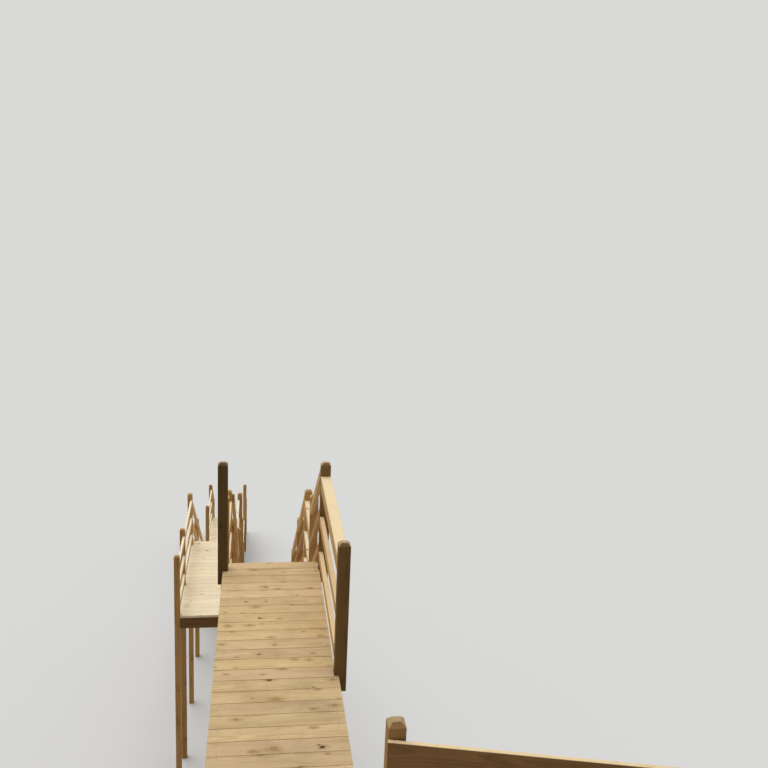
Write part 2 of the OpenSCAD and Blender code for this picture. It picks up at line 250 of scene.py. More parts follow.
# where each mask fades out, in radii from the knot's heart
DISC_FADE, CORE_FADE, HALO_FADE, PARTING_FADE = (0.75, 1.1), (0.4, 0.95), (0.4, 2.1), (0.6, 3.8)
PATCHES_PER_METRE, PATCHES, PALEST_PATCH = 90.0, (0.32, 0.66), 0.2


def build_knots():
    """Branches cut through: the knot, its rim and halo, the parting grain and its darkness."""
    group, given, made = new_group(
        "knots",
        [("Place", "Vector", None), ("Shift", "Vector", None), ("Per Metre", "Float", 7.0),
         ("Share", "Float", 0.25)],
        [("Knot", "Float"), ("Rim", "Float"), ("Halo", "Float"), ("Parting", "Float"),
         ("Darkness", "Float")])
    flat, away, draw = scatter_branches(group, given)
    chosen = calculate(group, "LESS_THAN", draw["Red"], given["Share"])
    few_big = calculate(group, "POWER", draw["Green"], 2.0)
    size = calculate(group, "MULTIPLY_ADD", few_big, KNOT_RANGE, SMALLEST_KNOT)

    def reach(stretch):
        """How many knot radii away a point is, on an ellipse drawn out along the grain."""
        drawn_out = vector(group, "MULTIPLY", away, stretch)
        return calculate(group, "DIVIDE", length_of(group, drawn_out), size)

    near = reach(ROUND_KNOT)
    open_branch = spread(group, draw["Blue"], *OPEN_DRAWS)
    shown = calculate(group, "MULTIPLY_ADD", open_branch, 1.0 - FAINTEST_KNOT, FAINTEST_KNOT)
    disc = calculate(group, "MULTIPLY", fade(group, near, *DISC_FADE), shown)
    core = fade(group, near, *CORE_FADE)
    patches = noise(group, flat, PATCHES_PER_METRE, detail=3.0)[0]
    patches = spread(group, patches, *PATCHES, PALEST_PATCH)
    halo = fade(group, reach(LONG_HALO), *HALO_FADE)
    masks = {
        "Knot": disc,
        "Rim": calculate(group, "MULTIPLY", disc, calculate(group, "SUBTRACT", 1.0, core)),
        "Halo": calculate(group, "MULTIPLY", halo, patches),
        "Parting": fade(group, near, *PARTING_FADE),
    }
    for name, mask in masks.items():
        group.links.new(calculate(group, "MULTIPLY", mask, chosen), made[name])
    group.links.new(open_branch, made["Darkness"])
    return group


knots = build_knots()
print("node group", knots.name, "with", len(knots.nodes), "nodes")

# %% [markdown]
# ## Rings
#
# Pale spring wood and darker summer wood alternate in rings about a pith that
# mostly lies outside the plank, so a flat face shows long arches and an end
# shows arcs. A Wave texture makes rings too, but all alike, and they run
# straight through a knot. So the distance from the pith is worked out here,
# bent by slow noise and pushed aside by each knot, and divided by the ring's
# width. Its fraction climbs from spring wood to summer wood and then drops in a
# narrow step.

# %% Rings
MIDDLE = (0.5, 0.5, 0.5)
SLOW_NOISE, BEND = (0.9, 3.5, 3.5), (0.0, 0.05, 0.05)
PITH_REACH = (0.0, 0.16, 0.24)
TAPER = 0.009
PUSHED_ASIDE = 0.014
# the shares of a ring in which it darkens and turns pale again
CLIMB, DROP = (0.15, 0.88), (0.9, 1.0)


def stretched_noise(tree, place, shift, stretch, detail=2.0):
    """Noise drawn out along a plank, with its own part of the pattern for every plank."""
    where = vector(tree, "ADD", vector(tree, "MULTIPLY", place, stretch), shift)
    return noise(tree, where, 1.0, detail=detail)


def ring_mask(group, place, shift, pith_draw, parting, ring_width):
    """Rings about the plank's own pith: zero in spring wood, one in summer wood."""
    bend = stretched_noise(group, place, shift, SLOW_NOISE)["Color"]
    bend = vector(group, "MULTIPLY", vector(group, "SUBTRACT", bend, MIDDLE), BEND)
    pith = vector(group, "MULTIPLY", vector(group, "SUBTRACT", pith_draw, MIDDLE), PITH_REACH)
    from_pith = vector(group, "SUBTRACT", vector(group, "MULTIPLY", place, (0, 1, 1)), pith)
    radius = length_of(group, vector(group, "ADD", from_pith, bend))
    radius = calculate(group, "MULTIPLY_ADD", axes_of(group, place)["X"], TAPER, radius)
    radius = calculate(group, "MULTIPLY_ADD", parting, PUSHED_ASIDE, radius)
    share = calculate(group, "FRACT", calculate(group, "DIVIDE", radius, ring_width))
    climb = spread(group, share, *CLIMB)
    drop = fade(group, share, *DROP)
    return calculate(group, "MULTIPLY", climb, drop)


print("a log tapers by", TAPER, "of its length, and a knot pushes its rings", PUSHED_ASIDE, "m aside")

# %% [markdown]
# ## Fibres, clouds and splits
#
# Two noises stretched along the plank add its fibres and the cloudy change of
# tone, and where a third one, stretched further, crosses its middle value, the
# wood can split. Fine lines could be drawn one by one, but noise gives as many
# as the wood has. Every plank draws its own pith, lightness and warmth from its
# random number, so that no two planks show the same figure.

# %% Figure group
OTHER_DRAW = 41.7
PLANKS_APART = (91.0, 57.0, 73.0)
CLOUDS, SPLITS, FIBRES = (2.4, 15.0, 15.0), (1.1, 30.0, 30.0), (7.0, 330.0, 330.0)
SPLIT_WIDTH, SPLIT_CLOUDS = 0.012, (0.5, 0.6)


def build_figure():
    """Solid pine in a plank's own coordinates, as masks and values."""
    names = ("Ring", "Fibre", "Cloud", "Split", "Knot", "Rim", "Halo", "Darkness", "Lightness",
             "Warmth")
    group, given, made = new_group(
        "pine_figure",
        [("Place", "Vector", None), ("Seed", "Float", 0.0), ("Ring Width", "Float", 0.006),
         ("Knot Share", "Float", 0.25)],
        [(name, "Float") for name in names])
    place = given["Place"]
    first = put(group, "ShaderNodeTexWhiteNoise", {"W": given["Seed"]}, noise_dimensions="1D")
    other_seed = calculate(group, "ADD", given["Seed"], OTHER_DRAW)
    second = put(group, "ShaderNodeTexWhiteNoise", {"W": other_seed}, noise_dimensions="1D")
    drawn = put(group, "ShaderNodeSeparateColor", {"Color": first.outputs["Color"]}).outputs
    shift = vector(group, "MULTIPLY", first.outputs["Color"], PLANKS_APART)
    branch = put(group, "ShaderNodeGroup", {"Place": place, "Shift": shift,
                 "Share": given["Knot Share"]}, node_tree=knots).outputs

    cloud = stretched_noise(group, place, shift, CLOUDS, detail=5.0)[0]
    long_noise = stretched_noise(group, place, shift, SPLITS)[0]
    off_middle = calculate(group, "ABSOLUTE", calculate(group, "SUBTRACT", long_noise, 0.5))
    split = fade(group, off_middle, 0.0, SPLIT_WIDTH)
    values = {
        "Ring": ring_mask(group, place, shift, second.outputs["Color"], branch["Parting"],
                          given["Ring Width"]),
        "Fibre": stretched_noise(group, place, shift, FIBRES)[0],
        "Cloud": cloud,
        "Split": calculate(group, "MULTIPLY", split, spread(group, cloud, *SPLIT_CLOUDS)),
        "Lightness": drawn["Red"],
        "Warmth": drawn["Green"],
    }
    values.update({name: branch[name] for name in ("Knot", "Rim", "Halo", "Darkness")})
    for name, value in values.items():
        group.links.new(value, made[name])
    return group


figure = build_figure()
print("node group", figure.name, "with", len(figure.nodes), "nodes")

# %% [markdown]
# ## Dirt
#
# Boots and rain leave broad smudges and small specks. They could be part of
# each plank's own figure, but real ones pay no heed to the planks, so this
# pattern reads the object's coordinates, which run on across all the boards of
# a deck.

# %% Dirt group
SMUDGES_PER_METRE, SPECKS_PER_METRE = 2.3, 46.0
# the stretch of each noise over which clean wood turns dirty
SMUDGED, SPECKLED = (0.47, 0.75), (0.62, 0.74)


def build_dirt():
    """Smudges and specks across neighbouring planks."""
    group, given, made = new_group("trodden_dirt", [("Place", "Vector", None)],
                                   [("Smudge", "Float"), ("Speck", "Float")])
    broad = noise(group, given["Place"], SMUDGES_PER_METRE, detail=5.0, roughness=0.62)[0]
    fine = noise(group, given["Place"], SPECKS_PER_METRE, detail=3.0, roughness=0.7)[0]
    group.links.new(spread(group, broad, *SMUDGED), made["Smudge"])
    group.links.new(spread(group, fine, *SPECKLED), made["Speck"])
    return group


dirt = build_dirt()
print("node group", dirt.name, "with", len(dirt.nodes), "nodes")

# %% [markdown]
# ## The colour of pine
#
# Every timber material could mix its own colours, but all of them follow one
# recipe, so the recipe is a group of its own, and a material only chooses its
# woods. Summer rings, fibres and clouds tint the spring wood, and each plank is
# a little lighter or warmer than the next. Faces that look up get a painted
# highlight, a lighter colour in place of the light that falls on them, and a
# saw cut has a tone of its own.

# %% Clean wood
CLOUDY, CLOUD_STAIN = (0.42, 0.78), 0.34
# the fibres' own range, and how light and how dark they make the wood
STREAKED, STREAKS = (0.3, 0.75), (1.04, 0.9)
COOL_PLANK, WARM_PLANK = (1.0, 0.965, 1.0, 1.0), (1.0, 0.985, 0.86, 1.0)


def clean_colour(group, given, wood):
    """A plank's colour by its figure, its own lightness and warmth, a painted highlight on top, and
    the saw.
    """
    colour = tinted(group, given["Spring"], wood["Ring"], given["Ring Depth"], given["Summer"])
    cloudy = spread(group, wood["Cloud"], *CLOUDY)
    colour = tinted(group, colour, cloudy, CLOUD_STAIN, given["Stain"])
    streak = spread(group, wood["Fibre"], *STREAKED, *STREAKS)
    colour = blended(group, 1.0, colour, streak, "MULTIPLY")
    from_middle = calculate(group, "SUBTRACT", wood["Lightness"], 0.5)
    bright = calculate(group, "MULTIPLY_ADD", from_middle, given["Variety"], 1.0)
    colour = blended(group, 1.0, colour, bright, "MULTIPLY")
    hue = blended(group, wood["Warmth"], COOL_PLANK, WARM_PLANK)
    colour = blended(group, given["Hues"], colour, hue, "MULTIPLY")
    # a painted highlight: faces that look up are made lighter, as if more light fell on them
    colour = tinted(group, colour, given["Sky"], given["Bleaching"], given["Bleached"])
    return tinted(group, colour, given["Cut"], given["Cut Share"], given["Saw Cut"])


print("a cool plank is multiplied by", COOL_PLANK[:3], "and a warm one by", WARM_PLANK[:3])

# %% [markdown]
# ## Marks on the wood
#
# Marks come on top of the clean colour one after another, as a later one covers
# those before it: the stain along a board's edges, the knots with their halos
# and rims, the splits, and what boots leave. Last, a whole plank can be darker
# than its wood, at random or as painted shade. The relief could have a pattern
# of its own, but it comes from the same masks, so that it lies where the colour
# shows it: fibres and rings stand up a little, and the rims of knots and the
# splits lie deeper.

# %% Marked wood
EDGE_BAND, EDGE_PATCHES = 0.014, (0.38, 0.62)
HALO_STRENGTH, KNOT_STRENGTH, RIM_STRENGTH = 0.62, 0.9, 0.7
RING_HEIGHT, RIM_HEIGHT, SPLIT_HEIGHT = 0.5, -0.8, -3.0
DARK_TONE_AND_SHADE = (0.02, 0.013, 0.006, 1.0)


def marked_colour(group, given, wood, colour):
    """The colour of a plank with its dark edges, knots, splits, dirt, and its tone, which is painted
    shade on some planks.
    """
    side = calculate(group, "ABSOLUTE", axes_of(group, given["Place"])["Y"])
    to_edge = calculate(group, "SUBTRACT", given["Half Width"], side)
    edge = fade(group, to_edge, 0.0, EDGE_BAND)
    edge = calculate(group, "MULTIPLY", edge, spread(group, wood["Cloud"], *EDGE_PATCHES))
    colour = tinted(group, colour, edge, given["Edge Dirt"], given["Stain"])
    colour = tinted(group, colour, wood["Halo"], HALO_STRENGTH, given["Knot Wood"])
    branch = blended(group, calculate(group, "POWER", wood["Darkness"], 3.0),
                     given["Knot Wood"], given["Dark Knot"])
    colour = tinted(group, colour, wood["Knot"], KNOT_STRENGTH, branch)
    colour = tinted(group, colour, wood["Rim"], RIM_STRENGTH, given["Dark Knot"])
    colour = tinted(group, colour, wood["Split"], given["Splits"], given["Dark Knot"])
    soiled = put(group, "ShaderNodeGroup", {"Place": given["Across Boards"]}, node_tree=dirt).outputs
    for mask in ("Smudge", "Speck"):
        colour = tinted(group, colour, soiled[mask], given["Dirt"], given["Soil"])
    # Tone darkens a whole plank: by chance on most posts and legs, as painted shade on the near
    # boards and the darker posts.
    return blended(group, given["Tone"], colour, DARK_TONE_AND_SHADE)


def relief_of(group, given, wood):
    """The height of the plank's surface, for a bump."""
    relief = calculate(group, "MULTIPLY_ADD", wood["Ring"], RING_HEIGHT, wood["Fibre"])
    relief = calculate(group, "MULTIPLY_ADD", wood["Rim"], RIM_HEIGHT, relief)
    deep = calculate(group, "MULTIPLY", wood["Split"], given["Splits"])
    return calculate(group, "MULTIPLY_ADD", deep, SPLIT_HEIGHT, relief)


print("dirt gathers within", EDGE_BAND, "m of a board's edge")

# %% [markdown]
# ## The recipe as one group
#
# These nodes could be built into every material, but one group keeps them once
# and each material stays small. Its sockets are the choices that a material
# has, and each has a value that suits most of the timber, so a material names
# only what is different in its own wood.

# %% Colour group
PINE_COLOURS = [
    ("Spring", shade(226, 202, 152)), ("Summer", shade(190, 150, 92)),
    ("Stain", shade(150, 118, 76)), ("Knot Wood", shade(148, 104, 60)),
    ("Dark Knot", shade(44, 26, 14)), ("Soil", shade(122, 98, 70)),
    ("Bleached", shade(240, 220, 176)), ("Saw Cut", shade(168, 134, 88))]
PINE_AMOUNTS = [
    ("Ring Width", 0.006), ("Ring Depth", 0.5), ("Knot Share", 0.42), ("Variety", 0.16),
    ("Hues", 0.7), ("Dirt", 0.3), ("Half Width", 0.07), ("Edge Dirt", 0.0), ("Splits", 0.0),
    ("Bleaching", 0.0), ("Cut Share", 0.5)]
PLANK_FACTS = [
    ("Place", "Vector", None), ("Across Boards", "Vector", None), ("Seed", "Float", 0.0),
    ("Tone", "Float", 0.0), ("Cut", "Float", 0.0), ("Sky", "Float", 0.0)]
ROUGH_FIBRES, ROUGHNESS = (0.2, 0.8), (0.62, 0.82)


def build_pine():
    """Colour, roughness and relief of a pine plank."""
    group, given, made = new_group(
        "pine_colour",
        PLANK_FACTS
        + [(name, "Float", value) for name, value in PINE_AMOUNTS]
        + [(name, "Color", value) for name, value in PINE_COLOURS],
        [("Colour", "Color"), ("Roughness", "Float"), ("Relief", "Float")])
    wood = put(group, "ShaderNodeGroup", {
        name: given[name] for name in ("Place", "Seed", "Ring Width", "Knot Share")},
        node_tree=figure).outputs
    colour = marked_colour(group, given, wood, clean_colour(group, given, wood))
    rough = spread(group, wood["Fibre"], *ROUGH_FIBRES, *ROUGHNESS)
    relief = relief_of(group, given, wood)
    for name, value in (("Colour", colour), ("Roughness", rough), ("Relief", relief)):
        group.links.new(value, made[name])
    return group


pine_colour = build_pine()
print("node group", pine_colour.name, "with", len(pine_colour.nodes), "nodes")

# %% [markdown]
# ## Timber materials
#
# Each kind of timber is one short material round that group. One material could
# serve them all, with its colours written on every plank, but then no line
# would say what a rail or a post looks like. The Principled shader, the
# attributes and the bump stay in the material itself. Boards are pale and
# yellow, and palest on the landings and below, where a lit copy of their wood
# paints the light that falls there. Rails are cream on top, a painted
# highlight, and browner on their sides. The walkway's posts are of dark, olive
# treated wood, all the others of a warmer tan, and the joists and stringers
# under them of a dull brown, darker than the boards' pine, which paints the
# shade under the decks.

# %% A timber material
RELIEF = 0.0005
BUMP_STRENGTH = 0.6
DRY_WOOD_SHINE = 0.15


def timber(name, **choices):
    """A pine material with its own colours and amounts for the shared recipe."""
    material, tree = new_material(name)
    place = put(tree, "ShaderNodeAttribute", attribute_name="grain").outputs["Vector"]
    plank = put(tree, "ShaderNodeAttribute", attribute_name="plank").outputs["Vector"]
    plank = axes_of(tree, plank)
    face = put(tree, "ShaderNodeAttribute", attribute_name="face").outputs["Vector"]
    face = axes_of(tree, face)
    around = put(tree, "ShaderNodeTexCoord").outputs["Object"]
    inputs = {"Place": place, "Across Boards": around, "Seed": plank["X"], "Tone": plank["Y"],
              "Cut": face["X"], "Sky": face["Y"]}
    inputs.update({key.replace("_", " ").title(): value for key, value in choices.items()})
    wood = put(tree, "ShaderNodeGroup", inputs, node_tree=pine_colour).outputs
    bump = put(tree, "ShaderNodeBump", {"Height": wood["Relief"], "Strength": BUMP_STRENGTH,
               "Distance": RELIEF})
    shader = put(tree, "ShaderNodeBsdfPrincipled", {
        "Base Color": wood["Colour"], "Roughness": wood["Roughness"], "Normal": bump.outputs[0],
        "Specular IOR Level": DRY_WOOD_SHINE})
    put(tree, "ShaderNodeOutputMaterial", {"Surface": shader.outputs[0]})
    return material


print("relief of up to", RELIEF, "m on every timber")

# %% The woods of the stairs
WOODS = {
    "deck": timber("deck_pine", spring=shade(228, 201, 155), summer=shade(201, 166, 116),
                   stain=shade(164, 128, 80), knot_wood=shade(148, 112, 46),
                   dark_knot=shade(84, 56, 12), edge_dirt=0.3),
    # The landings' boards are a lit copy of the deck's wood, paler for the light painted on them.
    "pale_deck": timber("pale_pine", spring=shade(255, 243, 212), summer=shade(250, 231, 192),
                        stain=shade(234, 208, 164), knot_wood=shade(206, 170, 124),
                        dark_knot=shade(130, 94, 60), knot_share=0.15, ring_depth=0.35,
                        variety=0.1, hues=0.3, dirt=0.05, edge_dirt=0.3),
    # The rails' tops are painted lighter than their sides, a painted highlight.
    "rail": timber("rail_pine", spring=shade(216, 184, 128), summer=shade(182, 140, 84),
                   bleached=shade(250, 228, 184), bleaching=0.85, knot_share=0.2, dirt=0.12),
    "tan_rail": timber("tan_rail_pine", spring=shade(214, 176, 116), summer=shade(180, 134, 76),
                       bleached=shade(241, 211, 163), bleaching=0.85, knot_share=0.2, dirt=0.12),
    # The landings' rails are a lit copy of the rail's wood, paler for the light painted on them.
    "pale_rail": timber("lit_rail_pine", spring=shade(224, 190, 136), summer=shade(190, 150, 96),
                        bleached=shade(255, 243, 214), bleaching=0.9, knot_share=0.15, dirt=0.06),
    "brown_rail": timber("brown_rail_pine", spring=shade(194, 150, 92), summer=shade(154, 108, 56),
                         stain=shade(128, 92, 52), bleached=shade(246, 220, 170), bleaching=0.9,
                         knot_share=0.2, dirt=0.2),
    "shaded_rail": timber("shaded_rail_pine", spring=shade(150, 114, 72), summer=shade(120, 86, 52),
                          stain=shade(90, 62, 38), soil=shade(78, 54, 34),
                          bleached=shade(246, 220, 172), bleaching=0.9, knot_share=0.15, dirt=0.5),
    "post": timber("post_pine", spring=shade(140, 110, 62), summer=shade(108, 80, 40),
                   stain=shade(84, 60, 32), knot_wood=shade(84, 58, 30), knot_share=0.15,
                   saw_cut=shade(222, 194, 154), cut_share=0.8, splits=0.8, dirt=0.3),
    "tan_post": timber("tan_post_pine", spring=shade(214, 166, 104), summer=shade(176, 130, 70),
                       stain=shade(134, 98, 52), knot_wood=shade(118, 80, 44), knot_share=0.15,
                       saw_cut=shade(228, 200, 154), cut_share=0.8, splits=0.6, dirt=0.2),
    # The frame's dull brown is darker than the boards' pine, which paints the shade under the decks.
    "frame": timber("frame_pine", spring=shade(136, 102, 62), summer=shade(102, 72, 40),
                    stain=shade(66, 46, 26), dirt=0.35),
}
print("timber materials:", ", ".join(WOODS))

# %% [markdown]
# ## From a CAD node to planks
#
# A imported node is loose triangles. Its planks could be listed by hand with their
# directions, but they can be measured as well, and that holds for a sloped rail
# as for a level board. A copy of the node is merged, its flat faces are joined
# again, and what hangs together is then one plank. Its longest edge says how
# the grain runs, and the widest edge square to that is the plank's width. With
# those three directions every point gets its place in the wood.

# %% The planks of a node
WELD = 1e-5
ONE_DEGREE = math.radians(1)


def merged_copy(node):
    """The node's shape as a bmesh with whole flat faces."""
    mesh = bmesh.new()
    mesh.from_mesh(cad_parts[node].data)
    bmesh.ops.remove_doubles(mesh, verts=mesh.verts, dist=WELD)
    bmesh.ops.dissolve_limit(mesh, angle_limit=ONE_DEGREE, verts=mesh.verts, edges=mesh.edges)
    return mesh


def loose_parts(mesh):
    """The separate planks of a bmesh, each a list of its vertices."""
    met, parts = set(), []
    for first in mesh.verts:
        if first in met:
            continue
        part, waiting = [], [first]
        met.add(first)
        while waiting:
            vert = waiting.pop()
            part.append(vert)
            for edge in vert.link_edges:
                other = edge.other_vert(vert)
                if other not in met:
                    met.add(other)
                    waiting.append(other)
        parts.append(part)
    return parts


sample = merged_copy("walkway_rails")
sample_parts = loose_parts(sample)
print("walkway_rails:", len(sample_parts), "planks")

# %% The grain of a plank
NEARLY_SQUARE = 0.3
# lengths in metres that agree to this many digits count as the same
SAME_TO_DIGITS = 4
Plank = namedtuple("Plank", "grain half")


def box_of(points):
    """The middle and the half size of the box round some points."""
    low = Vector(min(point[axis] for point in points) for axis in range(3))
    high = Vector(max(point[axis] for point in points) for axis in range(3))
    return (low + high) / 2, (high - low) / 2


def measured(verts):
    """A plank: its grain, as a matrix of middle, along, across and through, and its half size."""
    edges = list(dict.fromkeys(edge for vert in verts for edge in vert.link_edges))
    reaches = sorted((edge.verts[1].co - edge.verts[0].co for edge in edges),
                     key=lambda reach: round(-reach.length, SAME_TO_DIGITS))
    along = reaches[0].normalized()
    if max(along, key=abs) < 0:
        along = -along
    square = [reach for reach in reaches if abs(reach.normalized().dot(along)) < NEARLY_SQUARE]
    through = along.cross(square[0]).normalized()
    turn = Matrix((along, through.cross(along), through)).transposed()
    middle, half = box_of([turn.inverted() @ vert.co for vert in verts])
    return Plank(Matrix.Translation(turn @ middle) @ turn.to_4x4(), half)


print("the first rail measures", [round(2 * half, 3) for half in measured(sample_parts[0]).half])
sample.free()

# %% [markdown]
# ## Dressing a node
#
# A planed board has eased edges, 1.5 to 3 mm wide, which catch the light and
# make the dark line between two boards. A Bevel modifier could ease them, but
# the place in the wood has to be written after the easing, so the operator
# bevels all the corners of the mesh itself. Boards are never quite as wide as
# each other, so each deck board is scaled across its grain by a little, which
# makes the gaps uneven. Each face also keeps what its material asks: how much
# it looks up, which sets a painted highlight on the tops of rails, and how
# fresh a saw cut it is. The bevels at a post's ends that look up and down the
# lane show less of the pale cut, which paints the shade that lies on them. The
# bevelled copy then stands for its CAD node, where the CAD has it.

# %% Pieces and saw cuts
CUT_SLOPE = 0.6
UPRIGHT = 0.9
# how much less saw cut a post's bevel shows when it looks along the lane: painted shade
BEVEL_SHADE = 1.25


def add_piece(name, mesh, material):
    """Turns a bmesh into a piece at the origin that rides on the root body."""
    data = bpy.data.meshes.new(name)
    mesh.to_mesh(data)
    mesh.free()
    data.materials.append(material)
    piece = bpy.data.objects.new(name, data)
    bpy.context.scene.collection.objects.link(piece)
    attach(piece, "root")
    return piece


def fresh_cut(normal, along):
    """How much a face shows its saw cut: not at all on a long side, less on a post's bevel that looks
    along the lane, as painted shade.
    """
    if abs(normal.dot(along)) < CUT_SLOPE:
        return 0.0
    return max(0.0, 1.0 - BEVEL_SHADE * abs(normal.y)) if abs(along.z) > UPRIGHT else 1.0


print("a face that looks along its plank by", CUT_SLOPE, "or more is a saw cut")

# %% Dress a node
SEED_RANGE = (1, 900)


def ease(mesh, ease_mm, narrow, chance):
    """Makes a node's planks unevenly narrow and eases their edges; returns them as measured."""
    planks = []
    for part in loose_parts(mesh):
        plank = measured(part)
        planks.append(plank)
        if narrow:
            factors = Vector((1, 1 - narrow * chance.random(), 1))
            bmesh.ops.scale(mesh, vec=factors, space=plank.grain.inverted(), verts=part)
    bmesh.ops.bevel(
        mesh, geom=mesh.edges, offset=ease_mm / 1000, offset_type="OFFSET", segments=2,
        profile=0.5, affect="EDGES", material=-1, clamp_overlap=True)
    return planks


def write_grain(mesh, planks, tone, chance):
    """Writes each point's place in the wood, and the facts of each plank and face."""
    in_wood = mesh.verts.layers.float_vector.new("grain")
    facts = mesh.faces.layers.float_vector.new("plank")
    looks = mesh.faces.layers.float_vector.new("face")
    for part in loose_parts(mesh):
        middle = box_of([vert.co for vert in part])[0]
        plank = min(planks, key=lambda other: (other.grain.translation - middle).length)
        inside = plank.grain.inverted()
        for vert in part:
            vert[in_wood] = inside @ vert.co
        about = Vector((chance.uniform(*SEED_RANGE), tone(plank.grain.translation, chance), 0))
        for face in dict.fromkeys(face for vert in part for face in vert.link_faces):
            cut = fresh_cut(face.normal, plank.grain.col[0].to_3d())
            face[facts] = about
            # how much a face looks up sets the painted highlight on the tops of rails
            face[looks] = Vector((cut, max(0.0, face.normal.z), 0))


def dress(node, material, slot, ease_mm, narrow, tone):
    """Puts an eased copy of the node in its place; returns its planks and its surface."""
    mesh = merged_copy(node)
    surface = BVHTree.FromBMesh(mesh)
    chance = random.Random(node)
    planks = ease(mesh, ease_mm, narrow, chance)
    write_grain(mesh, planks, tone, chance)
    piece = add_piece("dressed_" + node, mesh, material)
    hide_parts(node)
    return planks, surface


print("ready to dress", len(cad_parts), "nodes")

# %% [markdown]
# ## Which wood goes where
#
# Each node could be given its wood by hand, but their names say nearly all of
# it. A node's last word says what it is, and its first word says which part of
# the stairs it belongs to. The boards and rails of the two landings, and of all
# that lies below the lower one, are the palest, lit copies of their woods that
# paint the light falling there, and five nodes have a wood of their own.

# %% Wood by name
BOARD_NARROW = 0.006
KINDS = {
    # what it is: its wood, the record's slot, the easing in mm, the narrowing
    "boards": ("deck", "deck_pine", 2.0, BOARD_NARROW),
    "treads": ("deck", "deck_pine", 2.0, 0.0),
    "rails": ("rail", "rail_pine", 3.0, 0.0),
    "posts": ("tan_post", "post_pine", 2.5, 0.0),
    "legs": ("tan_post", "frame_pine", 2.5, 0.0),
    "frame": ("frame", "frame_pine", 1.5, 0.0),
    "stringers": ("frame", "frame_pine", 1.5, 0.0),
}
LIT_PARTS = ("lower_", "middle_", "foot_")
LIT_COPIES = {"deck": "pale_deck", "rail": "pale_rail"}
OWN_WOODS = {"walkway_posts": "post", "walkway_rails": "tan_rail", "upper_flight_rails": "brown_rail",
             "long_flight_rails": "brown_rail", "near_arm_rails": "shaded_rail"}


def wood_of(node):
    """The wood, slot, easing and narrowing of a node."""
    wood, slot, ease_mm, narrow = KINDS[node.split("_")[-1]]
    if node.startswith(LIT_PARTS):
        wood = LIT_COPIES.get(wood, wood)
    return WOODS[OWN_WOODS.get(node, wood)], slot, ease_mm, narrow


print("woods by name for", ", ".join(KINDS))

# %% [markdown]
# ## Darker planks
#
# Planks of one wood also differ in tone. A material for each would do, but one
# number on the plank is enough. The upper boards darken towards the near end,
# which paints the shade that lies over that end. Posts differ most: painted
# shade makes the one at the walkway's far left corner nearly black, the near
# right one dark, and those of the near arm darker than the other tan ones, and
# the rest vary by a little at random.

# %% Dress every node
# painted shade on the walkway's far left post, its near right post and the near arm's posts; the
# loose darkness is random
LEFT_POST_SHADE, NEAR_POST_SHADE, ARM_POST_SHADE, LOOSE_POST = 0.5, 0.2, 0.43, 0.2
# painted shade that darkens the upper boards towards the near end
NEAR_END_SHADE = 0.16


def even_tone(place, chance):
    """No plank is darker than its wood."""
    return 0.0


def near_end_shade_tone(place, chance):
    """The upper boards get painted shade, more of it towards the near end."""
    low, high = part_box("walkway_boards")
    return NEAR_END_SHADE * min(1.0, max(0.0, (high.y - place.y) / (high.y - low.y)))


def post_shade_tone(place, chance):
    """The walkway's posts by their place, as painted shade: the left one darkest, then the near right
    one.
    """
    low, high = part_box("walkway_posts")
    if place.x < (low.x + high.x) / 2:
        return LEFT_POST_SHADE
    return NEAR_POST_SHADE if place.y < (low.y + high.y) / 2 else 0.0


def arm_shade_tone(place, chance):
    """The near arm's posts get painted shade, the darkest of the tan ones."""
    return ARM_POST_SHADE


def loose_tone(place, chance):
    """A little darkness that differs from post to post."""
    return chance.uniform(0.0, LOOSE_POST)


TONES = {"walkway_boards": near_end_shade_tone, "near_arm_boards": near_end_shade_tone,
         "walkway_posts": post_shade_tone, "near_arm_posts": arm_shade_tone, "posts": loose_tone,
         "legs": loose_tone}

dressed = {}
for node in sorted(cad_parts):
    tone = TONES.get(node) or TONES.get(node.split("_")[-1], even_tone)
    dressed[node] = dress(node, *wood_of(node), tone)
plank_count = sum(len(planks) for planks, surface in dressed.values())
print("dressed", len(dressed), "nodes,", plank_count, "planks")

# %% [markdown]
# ## Nails
#
# Two nails hold each board on each joist or stringer, in straight lines that
# show where the joists run. Scattered by chance they would miss those lines, so
# a pair goes in where the middle lines of a board and of a joist cross in plan.
# A ray sent down from above finds the board's top there, and misses where the
# board is cut out for a post. Every head is a low cone of eight sides, a little
# proud, as a hammer leaves it.

# %% Nail steel
RUST_PER_METRE, RUSTY = 9.0, (0.4, 0.65)


def build_steel():
    """Dull nail steel with a breath of rust."""
    material, tree = new_material("nail_steel")
    place = put(tree, "ShaderNodeTexCoord").outputs["Object"]
    rust = spread(tree, noise(tree, place, RUST_PER_METRE)[0], *RUSTY)
    shader = put(tree, "ShaderNodeBsdfPrincipled", {
        "Base Color": blended(tree, rust, shade(150, 138, 116), shade(128, 98, 66)),
        "Metallic": 0.5, "Roughness": 0.6})
    put(tree, "ShaderNodeOutputMaterial", {"Surface": shader.outputs[0]})
    return material


steel = build_steel()
print("material", steel.name)

# %% Where the nails stand
PAIR_REACH = 0.64
HAMMER_SLIP = 0.003
ABOVE = 0.05
DOWN = Vector((0, 0, -1))
NAILED = {
    "walkway_boards": "walkway_frame", "near_arm_boards": "near_arm_frame",
    "middle_landing_boards": "middle_landing_frame", "lower_landing_boards": "lower_landing_frame",
    "lower_walkway_boards": "lower_walkway_frame", "upper_flight_treads": "upper_flight_stringers",
    "long_flight_treads": "long_flight_stringers", "lower_flight_treads": "lower_flight_stringers",
    "foot_flight_treads": "foot_flight_stringers",
}


def middle_line(plank):
    """The ends of a plank's middle line in plan."""
    reach = plank.grain.col[0].to_3d() * plank.half.x
    return (plank.grain.translation - reach).to_2d(), (plank.grain.translation + reach).to_2d()


